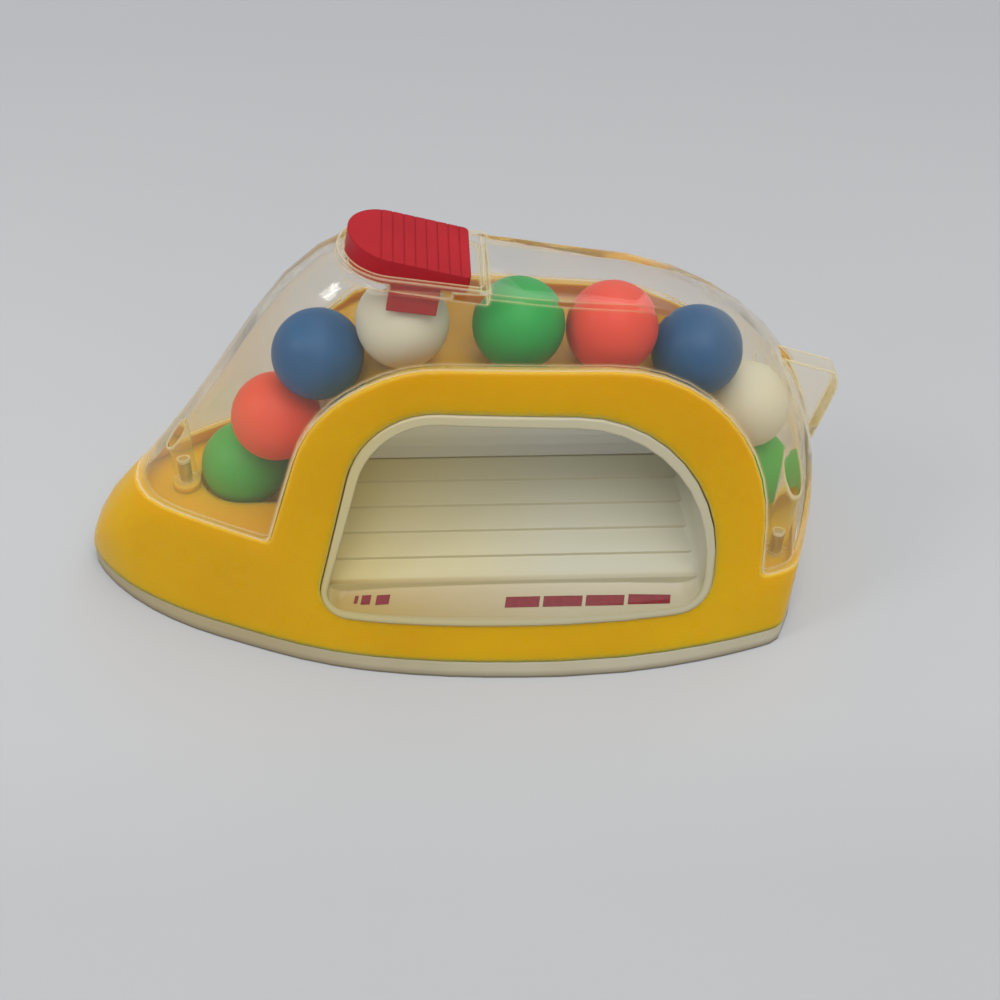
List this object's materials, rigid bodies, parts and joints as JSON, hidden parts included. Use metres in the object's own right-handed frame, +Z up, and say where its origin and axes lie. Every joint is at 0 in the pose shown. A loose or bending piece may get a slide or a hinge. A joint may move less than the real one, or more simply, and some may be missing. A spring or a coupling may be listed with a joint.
{
  "type": "toy iron",
  "caption": "Toy iron with a yellow body, a stepped tunnel as its handle, and a clear hood over a row of coloured balls that roll over the handle, with a red thumb slide.",
  "frame": {"origin": "middle of the iron's overall box at the level of the table that the sole rests on", "axes": "+X towards the heel along the iron, +Y to the far side when the nose points left, +Z up"},
  "size_m": [0.1892, 0.093, 0.1017],
  "materials": {
    "sole_white": "pale grey white moulded plastic, worn",
    "body_yellow": "glossy warm yellow moulded plastic",
    "liner_white": "glossy off-white moulded plastic",
    "hood_clear": "clear moulded plastic, slightly yellowed",
    "slide_red": "glossy red moulded plastic",
    "ball_green": "smooth green plastic",
    "ball_coral": "smooth coral red plastic",
    "ball_blue": "smooth blue plastic",
    "ball_white": "smooth off-white plastic",
    "screw_steel": "plain steel screws"
  },
  "bodies": {
    "iron": {"sole_plate": "sole_white", "body_shell": "body_yellow", "near_tunnel_liner": "liner_white", "far_tunnel_liner": "liner_white", "clear_hood": "hood_clear", "hood_screws": "screw_steel", "sole_screws": "screw_steel"},
    "slide": {"thumb_slide": "slide_red"},
    "front_white": {"front_white_ball": "ball_white"},
    "front_blue": {"front_blue_ball": "ball_blue"},
    "front_coral": {"front_coral_ball": "ball_coral"},
    "front_green": {"front_green_ball": "ball_green"},
    "middle_coral": {"middle_coral_ball": "ball_coral"},
    "middle_green": {"middle_green_ball": "ball_green"},
    "rear_blue": {"rear_blue_ball": "ball_blue"},
    "rear_white": {"rear_white_ball": "ball_white"},
    "rear_green": {"rear_green_ball": "ball_green"}
  },
  "joints": [
    {"name": "thumb_slide_travel", "type": "slide", "parent": "iron", "child": "slide", "axis": [0.9877, 0, -0.1564], "range_m": [0, 0.0024]},
    {"name": "front_row_roll", "type": "hinge", "parent": "iron", "child": "front_white", "pos_m": [-0.0073, 0, 0.0385], "axis": [0, 1, 0], "range_deg": [0, 3.5]},
    {"name": "front_blue_roll", "type": "hinge", "parent": "iron", "child": "front_blue", "pos_m": [-0.0073, 0, 0.0385], "axis": [0, 1, 0], "range_deg": [0, 3.5]},
    {"name": "front_coral_roll", "type": "hinge", "parent": "iron", "child": "front_coral", "pos_m": [-0.0073, 0, 0.0385], "axis": [0, 1, 0], "range_deg": [0, 3.5]},
    {"name": "front_green_roll", "type": "slide", "parent": "iron", "child": "front_green", "axis": [1, 0, 0], "range_m": [0, 0.0024]},
    {"name": "rear_row_roll", "type": "hinge", "parent": "iron", "child": "middle_coral", "pos_m": [0.0355, 0, 0.0313], "axis": [0, -1, 0], "range_deg": [0, 3.1]},
    {"name": "middle_green_roll", "type": "slide", "parent": "iron", "child": "middle_green", "axis": [-0.998, 0, 0.0631], "range_m": [0, 0.0024]},
    {"name": "rear_blue_roll", "type": "hinge", "parent": "iron", "child": "rear_blue", "pos_m": [0.0355, 0, 0.0313], "axis": [0, -1, 0], "range_deg": [0, 3.1]},
    {"name": "rear_white_roll", "type": "hinge", "parent": "iron", "child": "rear_white", "pos_m": [0.0355, 0, 0.0313], "axis": [0, -1, 0], "range_deg": [0, 3.1]},
    {"name": "rear_green_roll", "type": "slide", "parent": "iron", "child": "rear_green", "axis": [0, 0, 1], "range_m": [0, 0.0024]}
  ],
  "couplings": [
    {"joint": "front_blue_roll", "follows": "front_row_roll", "ratio": 1},
    {"joint": "front_coral_roll", "follows": "front_row_roll", "ratio": 1},
    {"joint": "front_green_roll", "follows": "front_row_roll", "m_per_rad": 0.037},
    {"joint": "middle_green_roll", "follows": "rear_row_roll", "m_per_rad": 0.0415},
    {"joint": "rear_blue_roll", "follows": "rear_row_roll", "ratio": 1},
    {"joint": "rear_white_roll", "follows": "rear_row_roll", "ratio": 1},
    {"joint": "rear_green_roll", "follows": "rear_row_roll", "m_per_rad": 0.0415}
  ]
}
